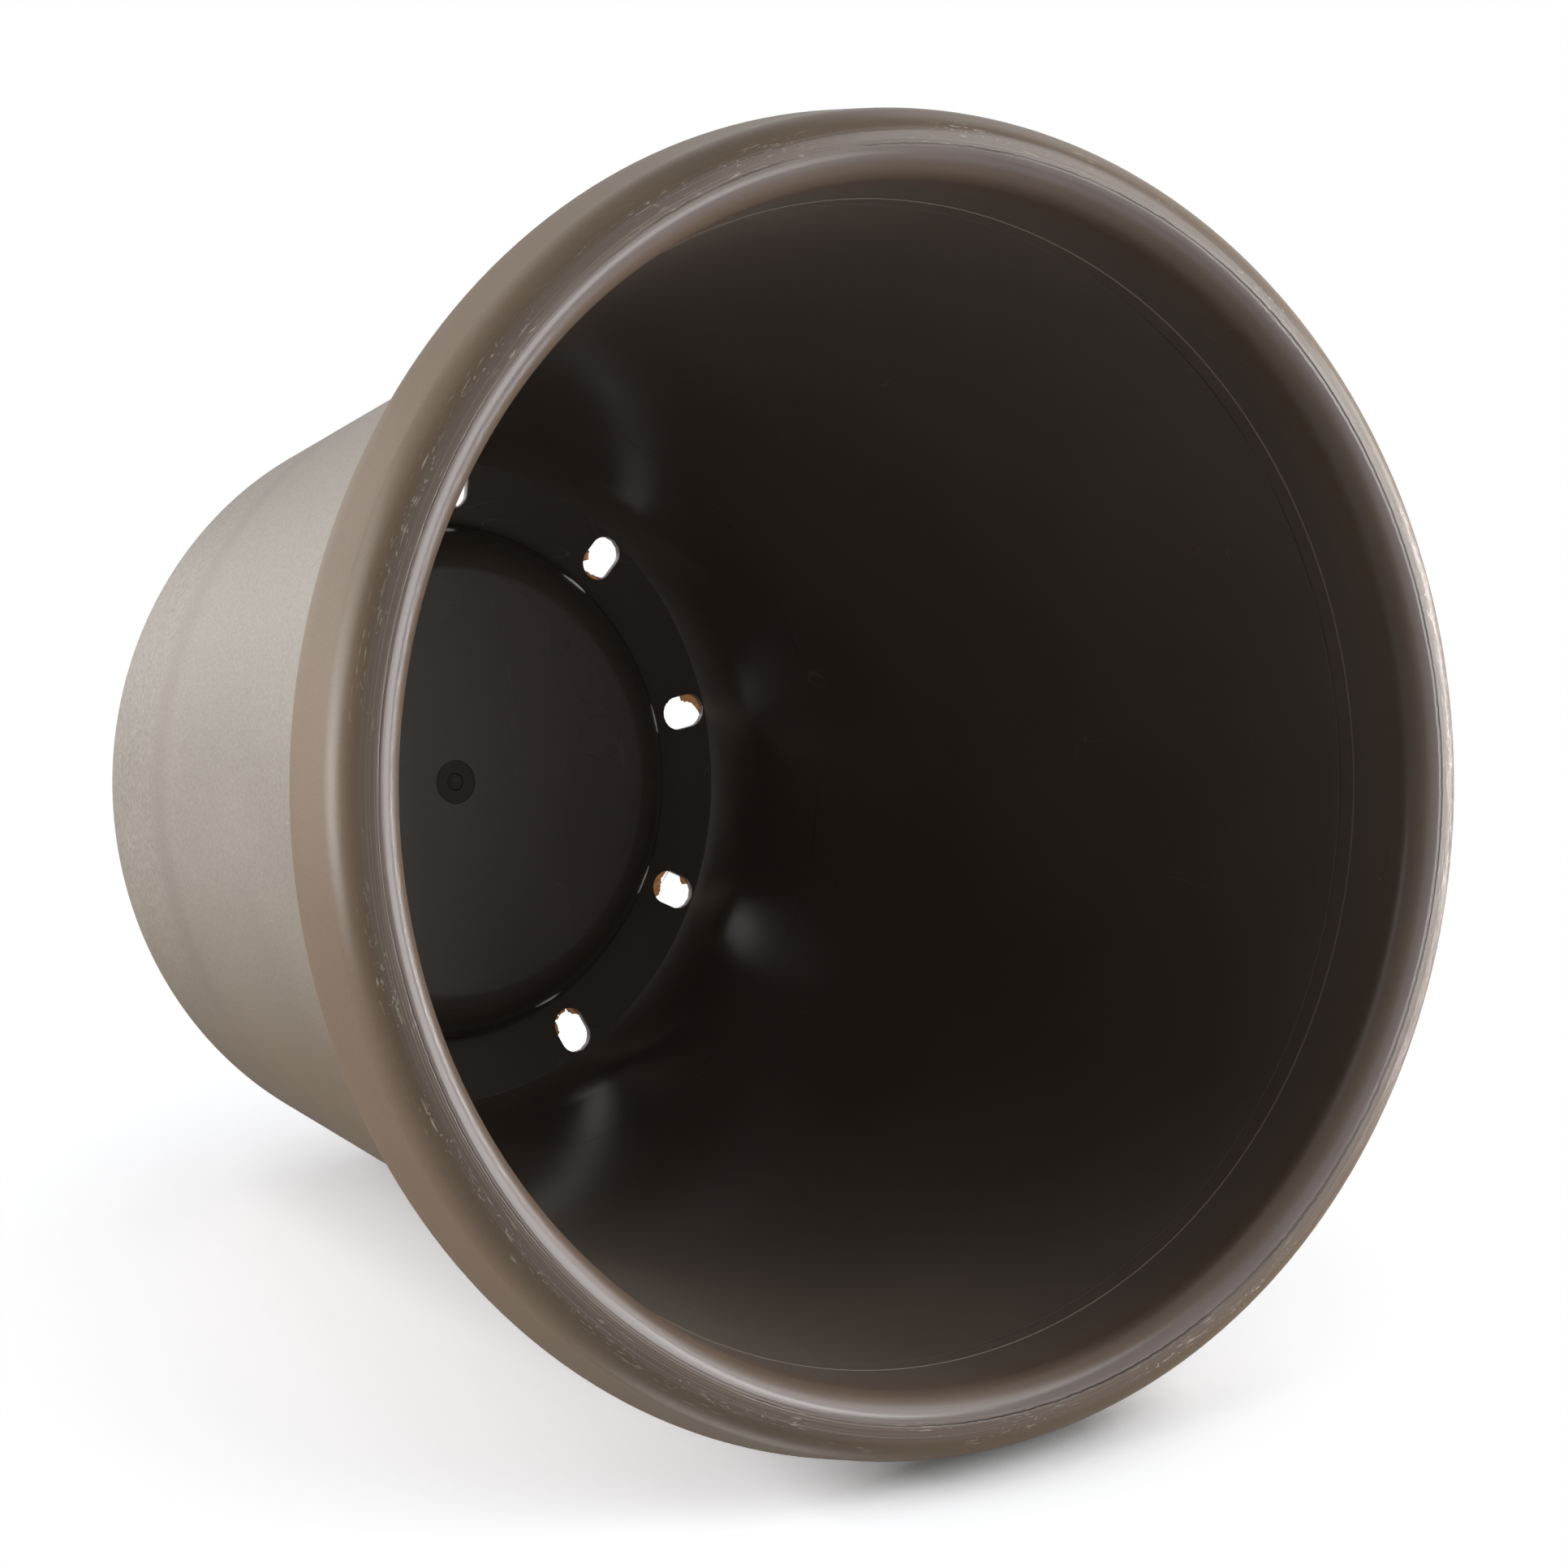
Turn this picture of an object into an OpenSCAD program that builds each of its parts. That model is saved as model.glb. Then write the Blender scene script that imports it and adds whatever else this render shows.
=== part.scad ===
// Plastic plant pot, moulded in one piece: a tapered body on a rounded foot, a rim rolled outwards
// into a deep hanging band that is open underneath, a raised base panel and a ring of drain slots.
// Millimetres. The pot stands mouth up on the flat ring that holds the slots, its axis on Z.

/* [Overall] */
// Outside diameter at the lower edge of the rim band, which is the widest place
rim_d = 400; // [360:1:440]
// Height from the ground to the top of the rim
pot_h = 330.5; // [290:0.5:380]
// Diameter of the body where its straight taper would meet the ground
foot_d = 253; // [230:1:280]
// Thickness of the side wall and of the rolled rim
wall = 2.8; // [2:0.1:4]

/* [Rim] */
// Height of the hanging band, from its lower edge to the top of the rim
band_h = 28.3; // [24:0.1:40]
// Lean of the band towards the axis as it rises, in degrees
band_lean = 6; // [1:0.5:10]
// How far the lower edge of the band stands out from the body
overhang = 23.6; // [20:0.1:32]
// Radius of the inner half of the rim's top
lip_r = 10; // [7:0.1:12]

/* [Foot] */
// Outside radius between the side wall and the base
foot_r = 25; // [18:0.5:30]
// Slope at which that rounding runs into the flat ring, in degrees
foot_slope = 29.8; // [22:0.1:36]
// Thickness of the base
floor_t = 2.5; // [2:0.1:3.5]

/* [Base panel] */
// Diameter of the raised panel at its foot
panel_d = 184; // [150:1:190]
// Height of the panel above the slotted ring
panel_rise = 16.9; // [12:0.1:24]
// Radius of the shoulder round the panel
shoulder_r = 16.4; // [8:0.1:20]
// Radius in the corner where the shoulder runs into the slotted ring
cove_r = 2; // [1:0.1:3]

/* [Drain slots] */
// Number of drain slots
slot_count = 10; // [6:1:12]
// Length of a slot, along the radius
slot_l = 17; // [12:0.1:18]
// Width of a slot
slot_w = 12; // [8:0.1:14]
// Distance from the outer end of a slot to the crease of the base
slot_edge = 0.4; // [0.2:0.1:3]

/* [Gate mark] */
// Diameter of the shallow disc that the moulding gate leaves in the middle of the panel
gate_d = 15; // [10:0.5:20]
// Depth of that disc
gate_depth = 0.5; // [0.2:0.05:0.8]
// Diameter of the dimple inside it
dimple_d = 6; // [3:0.1:8]
// Depth of the dimple below the disc
dimple_depth = 0.8; // [0.3:0.05:1]

/* [Hidden] */
$fn = 144;

// side wall: outer and inner radius at a height, on the straight taper
edge_z = pot_h - band_h;
body_top_r = rim_d / 2 - overhang;
taper = atan((body_top_r - foot_d / 2) / edge_z);
function outer_r(z) = foot_d / 2 + z * tan(taper);
function inner_r(z) = outer_r(z) - wall / cos(taper);

// foot rounding: one centre for its outer and inner arc
foot_cz = foot_r * cos(foot_slope);
foot_cr = outer_r(foot_cz) - foot_r / cos(taper);
foot_in = foot_r - wall;
ring_out = foot_cr + foot_r * sin(foot_slope);
crease_r = foot_cr + sqrt(foot_in * foot_in - (foot_cz - floor_t) * (foot_cz - floor_t));

// band: its lower edge is a half round, and both faces leave that at the lean
bead_r = wall / 2;
bead_c = [rim_d / 2 - bead_r, edge_z + bead_r];
band_0 = bead_c[0] + bead_r / cos(band_lean) + bead_c[1] * tan(band_lean);

// rim: the inner arc leaves the side wall and the outer arc leaves the band, and they meet at the top
top_r = inner_r(pot_h - lip_r) + lip_r / cos(taper);
rim_r = (band_0 - pot_h * tan(band_lean) - top_r) * cos(band_lean) / (1 - sin(band_lean));

// raised panel: the shoulder runs into the cove on the slotted ring, with a straight wall between
// them only where the panel is high enough for one
panel_r = panel_d / 2;
panel_z = floor_t + panel_rise;
shoulder = min(shoulder_r, panel_rise - 0.5);
under_r = max(shoulder - floor_t, 1);
panel_c = [panel_r - shoulder, panel_z - shoulder];
cove_z = floor_t + cove_r;
cove_up = max(cove_z - panel_c[1], 0);
cove_c = [panel_c[0] + sqrt(pow(shoulder + cove_r, 2) - cove_up * cove_up), cove_z];
turn = asin(cove_up / (shoulder + cove_r));

// drain slots
slot_r = crease_r - slot_edge - slot_l / 2;

// a point on a circle: centre, radius and angle from the outward direction
function arc_point(c, r, a) = [c[0] + r * cos(a), c[1] + r * sin(a)];

// the outer part of a disc between two angles less than half a turn apart; it reaches half a wall
// behind the chord, so that it overlaps the polygon that it is joined to or cut from
module arc_cap(c, r, a0, a1) {
    mid = (a0 + a1) / 2;
    far = r / cos((a1 - a0) / 2) * 1.05;
    root = r - min(wall, floor_t, r) / 2;
    intersection() {
        translate(c) circle(r = r);
        polygon([
            arc_point(c, root, a0),
            arc_point(c, r, a0),
            arc_point(c, far, mid - (a1 - a0) / 4),
            arc_point(c, far, mid + (a1 - a0) / 4),
            arc_point(c, r, a1),
            arc_point(c, root, a1)
        ]);
    }
}

// the two points where the band's faces leave its half-round edge
bead_in = arc_point(bead_c, bead_r, 180 + band_lean);
bead_out = arc_point(bead_c, bead_r, band_lean);

foot_c = [foot_cr, foot_cz];
lip_c = [top_r, pot_h - lip_r];
rim_c = [top_r, pot_h - rim_r];

// everything inside the outer skin, from the axis out
module skin_section() {
    polygon([
        [0, 0],
        [ring_out, 0],
        arc_point(foot_c, foot_r, -taper),
        [outer_r(bead_in[1]), bead_in[1]],
        bead_in,
        bead_out,
        arc_point(rim_c, rim_r, band_lean),
        [top_r, pot_h],
        [0, pot_h]
    ]);
    arc_cap(foot_c, foot_r, foot_slope - 90, -taper);
    arc_cap(rim_c, rim_r, band_lean, 90);
    translate(bead_c) circle(r = bead_r);
}

// the room inside the pot, above the slotted ring
module room_section() {
    crease_a = asin((floor_t - foot_cz) / foot_in);
    difference() {
        union() {
            polygon([
                [0, floor_t],
                [crease_r, floor_t],
                arc_point(foot_c, foot_in, -taper),
                arc_point(lip_c, lip_r, 180 - taper),
                [top_r, pot_h],
                [top_r, pot_h + 1],
                [0, pot_h + 1]
            ]);
            arc_cap(foot_c, foot_in, crease_a, -taper);
        }
        arc_cap(lip_c, lip_r, 90, 180 - taper);
    }
}

// the hollow of the rolled rim, open downwards
module rim_hollow_section() {
    low = bead_in[1] - 1;
    polygon([
        [outer_r(low) + 1, low],
        [outer_r(bead_in[1]), bead_in[1]],
        arc_point(lip_c, lip_r - wall, 180 - taper),
        [top_r, pot_h - wall],
        arc_point(rim_c, rim_r - wall, band_lean),
        bead_in,
        [bead_in[0] - 1, low]
    ]);
    arc_cap(lip_c, lip_r - wall, 90, 180 - taper);
    arc_cap(rim_c, rim_r - wall, band_lean, 90);
}

// the raised panel with its shoulder, and the cove where it runs into the slotted ring
module panel_section() {
    difference() {
        polygon([
            [0, floor_t / 2],
            [cove_c[0], floor_t / 2],
            cove_c,
            arc_point(cove_c, cove_r, 180 + turn),
            arc_point(panel_c, shoulder, turn),
            arc_point(panel_c, shoulder, 90),
            [0, panel_z]
        ]);
        translate(cove_c) circle(r = cove_r);
    }
    arc_cap(panel_c, shoulder, turn, 90);
}

// the space under the panel, which leaves the base one thickness all over
module under_section() {
    difference() {
        polygon([
            [0, -1],
            [cove_c[0], -1],
            cove_c,
            arc_point(cove_c, cove_r + floor_t, 180 + turn),
            arc_point(panel_c, under_r, turn),
            arc_point(panel_c, under_r, 90),
            [0, panel_z - floor_t]
        ]);
        translate(cove_c) circle(r = cove_r + floor_t);
    }
    arc_cap(panel_c, under_r, turn, 90);
}

module pot() {
    color("#8c8178")
    difference() {
        rotate_extrude() {
            difference() {
                union() {
                    difference() {
                        skin_section();
                        room_section();
                        rim_hollow_section();
                    }
                    panel_section();
                }
                under_section();
            }
        }
        for (i = [0 : slot_count - 1])
            rotate([0, 0, i * 360 / slot_count])
                drain_slot();
        gate_mark();
    }
}

// one slot with round ends, straight through the base
module drain_slot() {
    half = (slot_l - slot_w) / 2;
    translate([slot_r, 0, -1]) {
        for (s = [-1, 1])
            translate([s * half, 0, 0]) cylinder(d = slot_w, h = floor_t + 2);
        translate([-half, -slot_w / 2, 0]) cube([2 * half, slot_w, floor_t + 2]);
    }
}

module gate_mark() {
    translate([0, 0, panel_z - gate_depth]) cylinder(d = gate_d, h = 5);
    translate([0, 0, panel_z - gate_depth - dimple_depth]) cylinder(d = dimple_d, h = 5);
}

pot();
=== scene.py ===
import math
from functools import partial
import bmesh
import bpy
import numpy as np
from mathutils import Matrix, Vector


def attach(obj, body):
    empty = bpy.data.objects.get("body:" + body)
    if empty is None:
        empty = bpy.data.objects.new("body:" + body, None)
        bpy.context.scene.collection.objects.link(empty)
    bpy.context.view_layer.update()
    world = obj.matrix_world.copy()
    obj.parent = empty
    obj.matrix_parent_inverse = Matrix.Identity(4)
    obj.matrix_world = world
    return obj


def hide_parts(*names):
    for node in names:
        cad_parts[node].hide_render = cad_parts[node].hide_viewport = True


# Plastic plant pot, lying on its side on a white floor. Everything is in the pot's own frame, where it
# stands upright on z = 0, so it is the camera and the floor that are tilted.

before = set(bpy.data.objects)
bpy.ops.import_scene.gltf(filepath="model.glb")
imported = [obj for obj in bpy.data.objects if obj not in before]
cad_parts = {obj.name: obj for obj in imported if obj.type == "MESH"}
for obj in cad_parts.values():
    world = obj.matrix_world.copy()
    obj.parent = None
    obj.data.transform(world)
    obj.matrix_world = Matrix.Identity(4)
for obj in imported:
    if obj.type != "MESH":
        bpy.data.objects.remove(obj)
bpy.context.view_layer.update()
print("frame loaded:", sorted(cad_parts))

mm = 0.001

cameraView = {
    "place": (-0.043365, 0.689716, 1.337244),  # m, in the pot's frame, as both directions are
    "right": (0.059134, -0.844576, 0.532161),  # the picture's right
    "back": (-0.033403, 0.531121, 0.846637),  # from the pot to the camera
    "lens": 96.02,  # mm, as the sensor's width
    "sensor": 36.0,
    "clip": (0.05, 50.0),
}


def makeCamera(view):
    right, back = Vector(view["right"]).normalized(), Vector(view["back"]).normalized()
    camera = bpy.data.objects.new("camera", bpy.data.cameras.new("camera"))
    bpy.context.scene.collection.objects.link(camera)
    turn = Matrix((right, back.cross(right), back)).transposed().to_4x4()
    camera.matrix_world = Matrix.Translation(view["place"]) @ turn
    camera.data.lens = view["lens"]
    camera.data.sensor_width = view["sensor"]
    camera.data.clip_start, camera.data.clip_end = view["clip"]
    bpy.context.scene.camera = camera


makeCamera(cameraView)
print("camera placed")


def linear(hexColour):
    # sRGB hex to linear light: a straight line below 0.04045, a power of 2.4 above it
    c = np.array([int(hexColour[i:i + 2], 16) for i in (1, 3, 5)]) / 255
    return (*np.where(c <= 0.04045, c / 12.92, ((c + 0.055) / 1.055) ** 2.4).tolist(), 1.0)


def add(tree, kind, *sources, **settings):
    # adds one node. A setting is the node's own, such as operation, or else belongs to the input of that
    # name; the sources go to its inputs in their order; a node given as a source stands for its output
    node = tree.nodes.new("ShaderNode" + kind)
    named = {}
    for name, value in settings.items():
        if hasattr(node, name):
            setattr(node, name, value)
        else:
            named[name.replace("_", " ")] = value
    pairs = list(zip([socket for socket in node.inputs if socket.enabled], sources))
    for socket, value in pairs + [(node.inputs[name], value) for name, value in named.items()]:
        if isinstance(value, bpy.types.Node):
            value = next(output for output in value.outputs if output.enabled)
        if isinstance(value, bpy.types.NodeSocket):
            tree.links.new(value, socket)
        else:
            socket.default_value = value
    return node


def newMaterial(name):
    # an empty material, and the function that adds a node to it
    material = bpy.data.materials.new(name)
    material.use_nodes = True
    material.node_tree.nodes.clear()
    return material, partial(add, material.node_tree)


def makePiece(name, mesh, materials):
    for material in materials:
        mesh.materials.append(material)
    piece = bpy.data.objects.new(name, mesh)
    bpy.context.scene.collection.objects.link(piece)
    return piece


def gridFaces(rows, columns, closed=True):
    # quads of a grid of points stored row by row; closed joins the last column to the first
    i, j = np.meshgrid(np.arange(rows - 1), np.arange(columns if closed else columns - 1), indexing="ij")
    k = (j + 1) % columns
    corners = [i * columns + j, (i + 1) * columns + j, (i + 1) * columns + k, i * columns + k]
    return np.stack(corners, -1).reshape(-1, 4)


def arcPoints(centre, radius, start, end, count):
    # points on a circle from one angle to another, in degrees from the outward direction
    a = np.radians(np.linspace(start, end, count + 1))
    return np.stack([centre[0] + radius * np.cos(a), centre[1] + radius * np.sin(a)], 1)


def linePoints(a, b, step):
    # points on a straight line, about a step apart, both ends included
    a, b = np.array(a, float), np.array(b, float)
    count = max(int(np.linalg.norm(b - a) / step), 1)
    return a + (b - a) * np.linspace(0, 1, count + 1)[:, None]


def withLength(parts, start):
    # joins pieces of a section to one line of r, z and the length along it, and drops doubled points
    line = np.concatenate([np.array(p, float).reshape(-1, 2) for p in parts])
    steps = np.linalg.norm(np.diff(line, axis=0), axis=1)
    line, steps = line[np.append(True, steps > 1e-6)], steps[steps > 1e-6]
    return np.column_stack([line, start + np.append(0, np.cumsum(steps))])


def withMarks(line, marks):
    # fine mould marks: near each one the line gets close points, which stand out from the surface by
    # height * exp(-(distance / width) ** 2); a negative height is a groove
    s = line[:, 2]
    near = [at + width * np.linspace(-2.4, 2.4, 13) for at, _, width in marks]
    t = np.unique(np.concatenate([s] + near))
    r, z = np.interp(t, s, line[:, 0]), np.interp(t, s, line[:, 1])
    out = np.sum([height * np.exp(-((t - at) / width) ** 2) for at, height, width in marks], axis=0)
    dr, dz = np.gradient(r, t), np.gradient(z, t)
    long = np.hypot(dr, dz)
    return np.column_stack([r - out * dz / long, z + out * dr / long, t])


# the pot's sizes in mm and degrees, as in the part's source
potSize = {
    "rimDiameter": 400.0, "height": 330.5, "footDiameter": 253.0, "wall": 2.8,
    "bandHeight": 28.3, "bandLean": 6.0, "overhang": 23.6, "lipRadius": 10.0,
    "footRadius": 25.0, "footSlope": 29.8, "floor": 2.5,
    "panelDiameter": 184.0, "panelRise": 16.9, "shoulder": 16.4, "cove": 2.0,
    "slotCount": 10, "slotLength": 17.0, "slotWidth": 12.0, "slotEdge": 0.4,
    "gateDiameter": 15.0, "gateDepth": 0.5, "dimpleDiameter": 6.0, "dimpleDepth": 0.8,
}


def workOutSection(s):
    # the same construction as the part's source: every arc is tangent to what it meets
    d = {}
    edgeZ = s["height"] - s["bandHeight"]
    taper = math.atan((s["rimDiameter"] / 2 - s["overhang"] - s["footDiameter"] / 2) / edgeZ)
    outer = lambda z: s["footDiameter"] / 2 + z * math.tan(taper)
    inner = lambda z: outer(z) - s["wall"] / math.cos(taper)
    slope, lean = math.radians(s["footSlope"]), math.radians(s["bandLean"])
    d["taper"], d["outer"], d["inner"] = math.degrees(taper), outer, inner
    footZ = s["footRadius"] * math.cos(slope)
    d["foot"] = (outer(footZ) - s["footRadius"] / math.cos(taper), footZ)
    d["footIn"] = s["footRadius"] - s["wall"]
    d["ringOut"] = d["foot"][0] + s["footRadius"] * math.sin(slope)
    d["crease"] = d["foot"][0] + math.sqrt(d["footIn"] ** 2 - (footZ - s["floor"]) ** 2)
    d["creaseAngle"] = math.degrees(math.asin((s["floor"] - footZ) / d["footIn"]))
    d["bead"] = (s["rimDiameter"] / 2 - s["wall"] / 2, edgeZ + s["wall"] / 2)
    band = d["bead"][0] + s["wall"] / 2 / math.cos(lean) + d["bead"][1] * math.tan(lean)
    topR = inner(s["height"] - s["lipRadius"]) + s["lipRadius"] / math.cos(taper)
    d["rimRadius"] = (band - s["height"] * math.tan(lean) - topR) * math.cos(lean) / (1 - math.sin(lean))
    d["lip"] = (topR, s["height"] - s["lipRadius"])
    d["rim"] = (topR, s["height"] - d["rimRadius"])
    panelTop = s["floor"] + s["panelRise"]
    d["panelTop"] = panelTop
    d["panel"] = (s["panelDiameter"] / 2 - s["shoulder"], panelTop - s["shoulder"])
    coveZ = s["floor"] + s["cove"]
    up = max(coveZ - d["panel"][1], 0)
    d["coveCentre"] = (d["panel"][0] + math.sqrt((s["shoulder"] + s["cove"]) ** 2 - up ** 2), coveZ)
    d["turn"] = math.degrees(math.asin(up / (s["shoulder"] + s["cove"])))
    d["slotRadius"] = d["crease"] - s["slotEdge"] - s["slotLength"] / 2
    return d


section = workOutSection(potSize)

# marks of the mould, too fine for the part's source, and how closely the pot is meshed; mm
moulding = {
    "insertRing": (303.2, 0.12, 0.35),  # height on the inner wall, how far it stands out, half its width
    "insertGroove": (297.5, -0.10, 0.30),
    "baseInsert": (50.6, -0.05, 0.40),
    "partingLine": (0.0, -0.012, 0.15),  # at the very top of the rim
    "slotRound": 0.22,  # on the slots' upper edges
    "columns": 220,  # round the pot
    "halfWindow": 4,  # columns on either side of a slot that its own patch covers
    "sideSteps": 20,  # points on each side of a patch
    "ringIn": 95.5,  # inner radius of the patches
    "patchShort": (0.03, 0.05),  # by which they end short of the crease and of the foot
    "hub": 0.6,  # radius of the fans that close both sides of the panel
    "rollStart": 11.0,  # along the lip's arc, where the glossy roll starts
    "rimOut": 7.0,  # from the parting line outwards, where the rim gets more grain
    "sharpAngle": 25,  # degrees between two faces from which their edge is drawn sharp
}


def workOutRuns(s, d, m):
    # the section as one line from the middle of the panel's top, out and up the inside, over the rim, down
    # the outside and in again underneath; every run carries its length from the start
    w, taper, lean = s["wall"], d["taper"], s["bandLean"]
    foot, lip, rim, bead = d["foot"], d["lip"], d["rim"], d["bead"]
    cove, panel, top = d["coveCentre"], d["panel"], d["panelTop"]
    ringTop, ringBottom = d["crease"] - m["patchShort"][0], d["ringOut"] - m["patchShort"][1]
    lengthOf = lambda parts: withLength(parts, 0.0)[-1, 2]

    # the gate mark's edges get close points, so that they stay crisp
    gate, dimple = s["gateDiameter"] / 2, s["dimpleDiameter"] / 2
    low = top - s["gateDepth"]
    deep = low - s["dimpleDepth"]
    gateMark = [
        [(m["hub"], deep), (dimple - 0.8, deep), (dimple - 0.3, deep + 0.1), (dimple, low - 0.3)],
        [(dimple + 0.08, low - 0.08), (dimple + 0.3, low)],
        linePoints((dimple + 0.6, low), (gate - 0.3, low), 1.5),
        [(gate, low), (gate, top - 0.25), (gate + 0.07, top - 0.07), (gate + 0.25, top)],
        linePoints((gate + 0.6, top), (panel[0] - 0.5, top), 6.0),
    ]
    shoulderIn = [arcPoints(panel, s["shoulder"], 90, d["turn"], 24),
                  arcPoints(cove, s["cove"], 180 + d["turn"], 270, 8), [(m["ringIn"], s["floor"])]]
    panelTop = withLength(gateMark + shoulderIn, 0.0)
    ringStart = panelTop[-1, 2]

    footIn = arcPoints(foot, d["footIn"], d["creaseAngle"], -taper, 18)
    wallIn = linePoints((d["inner"](foot[1]), foot[1]), (d["inner"](lip[1]), lip[1]), 10.0)
    lipTop = arcPoints(lip, s["lipRadius"], 180 - taper, 90, 26)
    inside = withLength([[(ringTop, s["floor"])], footIn, wallIn[1:-1], lipTop],
                        ringStart + ringTop - m["ringIn"])
    atTop = inside[-1, 2]

    rimTop = arcPoints(rim, d["rimRadius"], 90, lean, 30)
    beadArc = arcPoints(bead, w / 2, lean, -180 + lean, 14)
    band = linePoints(rimTop[-1], beadArc[0], 4.0)
    hollowOut = arcPoints(rim, d["rimRadius"] - w, lean, 90, 12)
    hollowIn = arcPoints(lip, s["lipRadius"] - w, 90, 180 - taper, 12)
    footOut = arcPoints(foot, s["footRadius"], -taper, s["footSlope"] - 90, 18)
    body = [linePoints(hollowIn[-1], footOut[0], 10.0), footOut, [(ringBottom, 0.0)]]
    hollow = [linePoints(beadArc[-1], hollowOut[0], 6.0), hollowOut, hollowIn]
    outside = withLength([rimTop, band, beadArc] + hollow + body, atTop)
    ringEnd = outside[-1, 2]

    under, z = s["shoulder"] - s["floor"], top - s["floor"]
    underside = withLength([
        [(m["ringIn"], 0.0)], arcPoints(cove, s["cove"] + s["floor"], 270, 180 + d["turn"], 10),
        arcPoints(panel, under, d["turn"], 90, 16), linePoints((panel[0], z), (m["hub"], z), 12.0),
    ], ringEnd + ringBottom - m["ringIn"])

    wallLengths = np.interp(wallIn[:, 1], inside[:, 1], inside[:, 2])
    lengthAt = lambda z: float(np.interp(z, wallIn[:, 1], wallLengths))
    marks = {key: lengthAt(m[key][0]) for key in ("insertRing", "insertGroove", "baseInsert")}
    steps = [(at, *m[key][1:]) for key, at in marks.items()] + [(atTop, *m["partingLine"][1:])]
    # where the skin's zones start
    stations = {
        "shoulder": ringStart - lengthOf(shoulderIn), "ring": ringStart,
        "crease": inside[1, 2], "wallIn": inside[len(footIn), 2],
        "lip": lengthAt(lip[1]), "roll": lengthAt(lip[1]) + m["rollStart"],
        "top": atTop, "rimOut": atTop + m["rimOut"],
        "band": atTop + lengthOf([rimTop]), "hollow": atTop + lengthOf([rimTop, band, beadArc]),
        "body": ringEnd - lengthOf(body),
    }
    return {
        "panelTop": panelTop, "wall": withMarks(np.concatenate([inside, outside[1:]]), steps),
        "underside": underside,
        "ringTop": (ringTop, s["floor"], ringStart), "ringBottom": (ringBottom, 0.0, ringEnd),
        "marks": marks, "stations": {key: float(value) for key, value in stations.items()},
    }


def revolve(line, columns, m):
    # each point of a run carried round the axis: x = r cos a, y = r sin a, z and the length kept
    a = columns * (2 * np.pi / m["columns"])
    r, rest = line[:, :1], line[:, None, 1:]
    xy = np.stack([r * np.cos(a), r * np.sin(a)], -1)
    return np.concatenate([xy, np.broadcast_to(rest, (*xy.shape[:2], 2))], -1).reshape(-1, 4)


def stadiumReach(size, grow, ways):
    # how far a ray from a slot's centre runs inside a slot with round ends, grown by a margin: to the
    # straight side, or where it meets the end's circle
    half = (size["slotLength"] - size["slotWidth"]) / 2
    r = size["slotWidth"] / 2 + grow
    ux, uy = np.abs(ways[:, 0]), np.abs(ways[:, 1])
    side = r / np.maximum(uy, 1e-9)
    end = ux * half + np.sqrt(np.maximum((ux * half) ** 2 - half ** 2 + r ** 2, 0))
    return np.where(side * ux <= half, side, end)


def slotPatch(s, d, m, runs):
    # one slot's piece of the ring: closed loops from the patch's edge underneath in to the slot, up its
    # wall and out to the patch's edge on top, all with the same number of points
    w, n = m["halfWindow"], m["sideSteps"]

    def edgeLoop(outer, z, length, sign):
        a = np.arange(-w, w + 1) * (2 * np.pi / m["columns"])
        r = np.linspace(m["ringIn"], outer, n + 1)
        polar = np.concatenate([
            np.column_stack([np.full(2 * w, outer), a[:-1]]),
            np.column_stack([r[:0:-1], np.full(n, a[-1])]),
            np.column_stack([np.full(2 * w, m["ringIn"]), a[:0:-1]]),
            np.column_stack([r[:-1], np.full(n, a[0])]),
        ])
        r, a = polar.T
        far = length + (r - m["ringIn"] if sign > 0 else outer - r)
        return np.column_stack([r * np.cos(a), r * np.sin(a), np.full(len(r), z), far])

    top = edgeLoop(*runs["ringTop"], 1)
    bottom = edgeLoop(*runs["ringBottom"], -1)
    centre = np.array([d["slotRadius"], 0.0])
    ways = top[:, :2] - centre
    ways /= np.linalg.norm(ways, axis=1)[:, None]

    def slotLoop(grow, z, like):
        xy = centre + ways * stadiumReach(s, grow, ways)[:, None]
        return np.column_stack([xy, np.full(len(xy), z), like[:, 3]])

    # the rounding's middle point lies 0.29 of its radius from both of the faces that it joins
    e, t = m["slotRound"], s["floor"]
    under, mouth = slotLoop(0.1, 0.0, bottom), slotLoop(e, t, top)
    loops = [bottom + (under - bottom) * k for k in (0, 0.3, 0.6, 0.85)]
    loops += [under, slotLoop(0.0, 0.1, top), slotLoop(0.0, t / 2, top), slotLoop(0.0, t - e, top)]
    loops += [slotLoop(0.29 * e, t - 0.29 * e, top), mouth]
    loops += [mouth + (top - mouth) * k for k in (0.1, 0.25, 0.45, 0.7, 1)]
    return np.stack(loops)


def spinBy(k, count):
    # turns points in rows about the axis, by k of count parts of a full turn
    a = 2 * math.pi * k / count
    return np.array([[math.cos(a), math.sin(a), 0], [-math.sin(a), math.cos(a), 0], [0, 0, 1]])


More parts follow.
